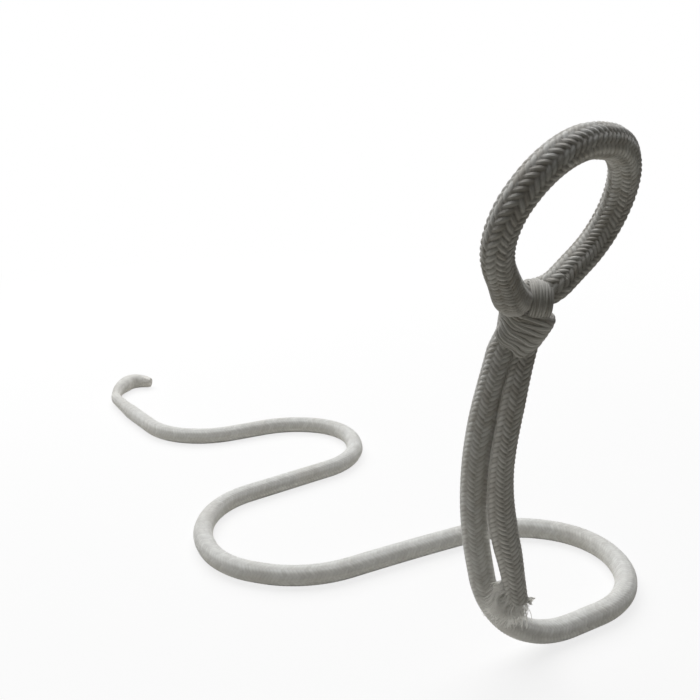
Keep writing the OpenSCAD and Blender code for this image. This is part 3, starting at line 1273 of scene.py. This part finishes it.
@dataclass
class TailSeal(Assembly):
    """The hard melted point that keeps the tail's braid together."""

    height: float = 3.68
    droop: float = 0.12
    sides: int = 40
    along: Row = (-0.8, 0.0, 0.8, 1.6, 2.4, 3.2, 3.7, 4.0, 4.15, 4.2)
    shares: Row = (0.92, 1.0, 0.97, 0.92, 0.87, 0.81, 0.76, 0.71, 0.6, 0.34)

    def build(self) -> None:
        """Make the sealed point as a tapered, slightly uneven plug."""
        line, sizes = self.line, self.sizes
        start = line.sealed_point()
        start[2] = self.height
        way = line.way[0] - line.way[1]
        way[2] = -self.droop * np.linalg.norm(way)
        way = unit(way)
        side = unit(np.cross(way, UP))
        angle = np.linspace(0, 2 * math.pi, self.sides, endpoint=False)
        wobble = 0.05 * np.sin(3 * angle + 0.6) + 0.03 * np.sin(7 * angle)
        along = np.array(self.along) * sizes.seal_l / self.along[-1]
        reach = 1 + np.outer(np.clip(along, 0, 1), wobble)
        reach *= sizes.slack_d / 2 * np.array(self.shares)[:, None]
        spokes = np.outer(np.cos(angle), side) + np.outer(np.sin(angle), np.cross(side, way))
        middles = start + np.outer(along, way)
        rings = middles[:, None] + reach[:, :, None] * spokes
        points = np.vstack([rings.reshape(-1, 3), middles[0], middles[-1]])
        outward = [(f[0], *f[:0:-1]) for f in tube_faces(len(along), self.sides)]
        mesh = bpy.data.meshes.new("tail_seal")
        mesh.from_pydata((points * MM).tolist(), [], outward)
        mesh.shade_smooth()
        mesh.materials.append(self.shop.finishes.get(Finish.SEAL))
        settle(add_object("melted_tail_end", mesh), Finish.SEAL, "tail_seal")


@dataclass
class Knot(Assembly):
    """The knot under the loop: the crossing turn, the bridge and the flat leg.

    The turn's edges are eight heights round it, from its right side toward the back.
    """

    yaw: float = 35.0
    turn_lean: float = 25.0
    turn_yaw: float = 12.0
    drop_share: float = 0.8
    leg_share: float = 0.5
    tight_share: float = 0.65
    slack_share: float = 1.2
    turn_top: Row = (5.4, 4.7, 4.3, 4.9, 6.3, 6.0, 5.9, 6.6)
    turn_foot: Row = (-5.0, -4.6, -4.3, -2.3, 0.9, -2.3, -5.0, -6.6)
    left_lean: float = 0.7
    right_lean: float = 0.12
    left_reach: float = 0.3
    right_reach: float = 1.1
    turn_step: float = 0.36
    turn_braid: Braid = field(default_factory=lambda: Braid(18.0, 13.0, 0.27, 0.1))
    bridge_yaw: float = 55.0
    bridge_pitch: float = -5.0
    bridge_at: Point = (0.66, -0.24, 0.2)
    bridge_front: Point = (0.59, -0.757, 0.276)
    bridge_share: float = 0.7
    bridge_reach: float = 0.56
    bridge_thick: float = 0.4
    bridge_arc: tuple[float, float] = (-75, 205)
    bridge_tuck: float = 1.8
    tucked: Span = Span(95, 160)
    tip: float = 1.8
    step: float = 0.3
    bridge_braid: Braid = field(default_factory=lambda: Braid(16.0, 10.0, 0.24, 0.08))
    leg_short: float = 0.6
    leg_braid: Braid = field(default_factory=lambda: Braid(crown=0.35, lift=0.1))

    def __post_init__(self) -> None:
        """Work out the knot's directions and places."""
        super().__post_init__()
        line, s = self.line, self.sizes
        self.stem_way = line.arc(Corner.STEM, 1.0)[1]
        yaw = math.radians(self.yaw)
        way = np.array([math.cos(yaw), math.sin(yaw), 0.0])
        self.side = unit(way - (way @ self.stem_way) * self.stem_way)
        self.axis = turned(math.radians(self.turn_lean), math.radians(self.turn_yaw))
        self.at = line.way[Corner.STEM_TOP] - self.drop_share * s.rope_d * self.stem_way
        self.leg_t = self.leg_share * s.slack_d
        self.leg_gap = s.rope_d / 2 + s.knot_play + self.leg_t / 2

    def build(self) -> None:
        """Make the knot's three bands."""
        self.turn()
        self.bridge()
        self.leg()

    def turn(self) -> None:
        """Make the flattened turn that crosses in front of the stem and the leg."""
        s = self.sizes
        x = unit(self.side - (self.side @ self.axis) * self.axis)
        y = np.cross(self.axis, x)
        outer = s.rope_d / 2 + s.knot_play + s.turn_t
        left = s.rope_d / 2 + self.left_reach * s.turn_t
        right = self.leg_gap + self.leg_t / 2 + s.knot_play + self.right_reach * s.turn_t
        angles = np.linspace(0, 2 * math.pi, 361)[:-1]
        c, d = np.cos(angles), np.sin(angles)
        west, east = np.clip(-c, 0, 1), np.clip(c, 0, 1)
        thick = 1 + (self.slack_share - 1) * east - (1 - self.tight_share) * west
        thick *= 0.5 * s.turn_t
        px = np.where(c >= 0, right - outer, outer - left) + (outer - thick) * c
        py = (outer - thick) * d
        high, low = (self.rounded(edge) for edge in (self.turn_top, self.turn_foot))
        ring = self.at + np.outer(px, x) + np.outer(py, y) + np.outer((high + low) / 2, self.axis)
        closed = resample(np.vstack([ring, ring[:1]]), self.turn_step)[:-1]
        share = np.linspace(0, 2 * math.pi, len(closed), endpoint=False)

        def along(values: Array) -> Array:
            """Return values of the drawn ring at the ring's even steps."""
            return np.interp(share, angles, values, period=2 * math.pi)

        total, braid = runs(np.vstack([closed, closed[:1]]))[-1], self.turn_braid
        braid = Braid(braid.strands, total / round(total / braid.pitch), braid.crown, braid.lift)
        slant = self.right_lean * east - self.left_lean * west**2
        tall = (high - low) / 2 * np.sqrt(1 + slant**2)
        skin = Sweep(
            "knot_crossing_turn", closed, self.axis + np.outer(along(slant), x), along(tall),
            along(thick), sides=150, square=2.8, closed=True,
        )
        self.shop.weave(skin, braid, Finish.ROPE, "knot_collar")

    @staticmethod
    def rounded(edge: Sequence[float]) -> Array:
        """Round off an edge of the turn.

        Args:
            edge: Its heights at even steps round the turn.

        Returns:
            Its heights at 360 steps.
        """
        at = np.arange(360) * len(edge) / 360
        k = at.astype(int)
        share = (1 - np.cos(np.pi * (at - k))) / 2
        ends = np.array([*edge, edge[0]])
        return ends[k] + share * (ends[k + 1] - ends[k])

    def bridge(self) -> None:
        """Make the turn that goes up from the leg and over the far limb's foot."""
        line, s = self.line, self.sizes
        top, foot = line.way[Corner.STEM_TOP], line.way[Corner.LOOP_FOOT]
        ahead, down, forward = self.bridge_at
        at = top + ahead * (foot - top) + down * s.rope_d * self.stem_way
        z = turned(math.radians(90 - self.bridge_pitch), math.radians(self.bridge_yaw))
        x = unit(UP - (UP @ z) * z)
        front = np.array(self.bridge_front)
        at = at + forward * s.rope_d * front + forward * z
        w = np.radians(np.linspace(*self.bridge_arc, 180))
        reach = self.bridge_reach * s.rope_d
        ring = at + reach * (np.outer(np.cos(w), x) + np.outer(np.sin(w), np.cross(z, x)))
        ring -= np.outer(self.bridge_tuck * self.tucked.of(np.degrees(w)), front)
        path = resample(ring, self.step)
        steps = np.arange(len(path))
        ends = np.minimum(steps, steps[::-1]) * self.step / self.tip
        fade = np.sqrt(np.clip(1 - (1 - np.minimum(1, ends)) ** 2, 0.02, 1))
        skin = Sweep(
            "knot_bridge", path, np.repeat(z[None], len(path), axis=0),
            fade * self.bridge_share * s.rope_d / 2, fade * self.bridge_thick * s.turn_t,
            sides=120, square=2.4, ease=fade,
        )
        self.shop.weave(skin, self.bridge_braid, Finish.ROPE, "knot_bridge")

    def leg(self) -> None:
        """Make the flat leg inside the turn, from which the free end hangs."""
        s = self.sizes
        top = self.at + self.leg_gap * self.side
        foot = top - (s.leg_l - self.leg_short) * self.stem_way
        path = resample(np.array([foot, top]), self.step)
        wide, thick = (np.full(len(path), size / 2) for size in (self.leg_t, s.slack_d))
        skin = Sweep("knot_leg", path, self.side, wide, thick, sides=60, square=2.4, lay=0.2)
        self.shop.weave(skin, self.leg_braid, Finish.SLACK, "knot_leg")


@dataclass
class Rod(Assembly):
    """The bent steel rod inside the rope, carried over from the solids."""

    def build(self) -> None:
        """Give the rod's own mesh its drawn steel."""
        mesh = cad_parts["core_rod"].data
        steel = self.shop.finishes.get(Finish.STEEL)
        if not mesh.materials:
            mesh.materials.append(steel)
        for k in range(len(mesh.materials)):
            mesh.materials[k] = steel
        LOG.info("core_rod: %d faces", len(mesh.polygons))


# ---------------------------------------------------------------- studio


@dataclass
class Studio:
    """The camera, the soft light, the dim sky and the plain pale floor, in metres."""

    eye: Point = (0.27415, -0.19100, 0.16913)
    heading: float = 138.432
    pitch: float = -24.802
    roll: float = 1.661
    lens: float = 43.044
    shift: tuple[float, float] = (-0.0208, 0.1524)
    lamp_at: Point = (-0.54, 0.22, 1.12)
    lamp_aim: Point = (0.02, 0.0, 0.05)
    lamp_size: float = 1.5
    lamp_power: float = 22.5
    sky: float = 0.055
    floor_half: float = 3.0
    floor_depth: float = 0.0003
    floor_near: Point = (0.76, 0.74, 0.69)
    floor_away: Point = (0.18, 0.17, 0.14)
    floor_seen: float = 0.95
    dim_from: float = 0.17
    dim_over: float = 0.12
    white_from: float = 0.2
    white_over: float = 0.35
    white_share: float = 0.8

    def camera(self) -> None:
        """Place the camera where the photograph was taken from."""
        a, e, r = (math.radians(v) for v in (self.heading, self.pitch, self.roll))
        ahead = np.array([math.cos(a) * math.cos(e), math.sin(a) * math.cos(e), math.sin(e)])
        right = unit(np.cross(ahead, UP))
        down = np.cross(ahead, right)
        x = math.cos(r) * right + math.sin(r) * down
        y = math.sin(r) * right - math.cos(r) * down
        data = bpy.data.cameras.new("camera")
        data.lens, data.sensor_width, data.sensor_fit = self.lens, 36.0, "HORIZONTAL"
        data.shift_x, data.shift_y = self.shift
        data.clip_start, data.clip_end = 0.005, 20.0
        camera = add_object("camera", data)
        turn = Matrix(np.stack([x, y, -ahead], 1).tolist()).to_4x4()
        camera.matrix_world = Matrix.Translation(Vector(self.eye)) @ turn
        bpy.context.scene.camera = camera

    def lamp(self) -> None:
        """Hang one large square lamp above and behind, which looks at the carrier."""
        data = bpy.data.lights.new("top_lamp", "AREA")
        data.shape, data.size, data.energy = "SQUARE", self.lamp_size, self.lamp_power
        lamp = add_object("top_lamp", data)
        lamp.location = self.lamp_at
        aim = Vector(self.lamp_aim) - Vector(self.lamp_at)
        lamp.rotation_euler = aim.to_track_quat("-Z", "Y").to_euler()

    def world(self) -> None:
        """Make a dim even sky that the camera sees as white."""
        world = bpy.data.worlds.new("plain_white")
        bpy.context.scene.world = world
        world.use_nodes = True
        graph = Graph(world.node_tree)
        strength = self.seen(graph) * (1.0 - self.sky) + self.sky
        graph.feed(graph.tree.nodes["Background"], {"Color": WHITE, "Strength": strength})

    @staticmethod
    def seen(graph: Graph) -> Field:
        """Tell the rays that see a thing from those that light by it.

        Args:
            graph: The tree that asks.

        Returns:
            1 for the camera and for reflections, and 0 for lighting.
        """
        path = graph.add("ShaderNodeLightPath")
        camera, shine, through = (
            graph.get(path, f"Is {ray} Ray") for ray in ("Camera", "Glossy", "Transmission")
        )
        return camera.most(shine).most(through)

    def floor(self) -> None:
        """Lay a plain pale floor that keeps a soft shadow."""
        mesh, half = bpy.data.meshes.new("floor"), self.floor_half
        corners = [(-half, -half, 0), (half, -half, 0), (half, half, 0), (-half, half, 0)]
        mesh.from_pydata(corners, [], [(0, 1, 2, 3)])
        floor = add_object("floor", mesh)
        floor.location.z = -self.floor_depth
        surface = Surface("pale_floor")
        place = {0: surface.place()}
        far = surface.value("ShaderNodeVectorMath", "Value", place, operation="LENGTH")
        fade = ((far - self.white_from) / self.white_over).held()
        off = ((far - self.dim_from) / self.dim_over).held()
        bright = self.seen(surface)
        tint = surface.add("ShaderNodeCombineColor")
        for channel, (near, away) in enumerate(zip(self.floor_near, self.floor_away)):
            share = off * (away - near) + near
            surface.feed(tint, {channel: share + (-share + self.floor_seen) * bright})
        surface.feed(surface.shader, {
            "Roughness": 0.9, "Specular IOR Level": 0.1, "Base Color": surface.get(tint, "Color"),
        })
        glow = surface.value("ShaderNodeEmission", "Emission", {"Color": WHITE, "Strength": 1.0})
        white = fade * (1 - self.white_share) + self.white_share
        surface.mix_in(bright * white, glow)
        mesh.materials.append(surface.material)

    def build(self) -> None:
        """Set up everything around the carrier."""
        self.lamp()
        self.world()
        self.floor()
        bpy.context.scene.view_settings.view_transform = "Standard"


def main() -> None:
    """Build the studio's camera, the cord and then every other piece."""
    logging.basicConfig(level=logging.INFO, format="%(name)s: %(message)s")
    studio = Studio()
    studio.camera()
    shop = Workshop()
    FreeEnd(shop).build()
    Cover(shop).build()
    TailSeal(shop).build()
    Knot(shop).build()
    Rod(shop).build()
    studio.build()


if __name__ == "__main__":
    main()
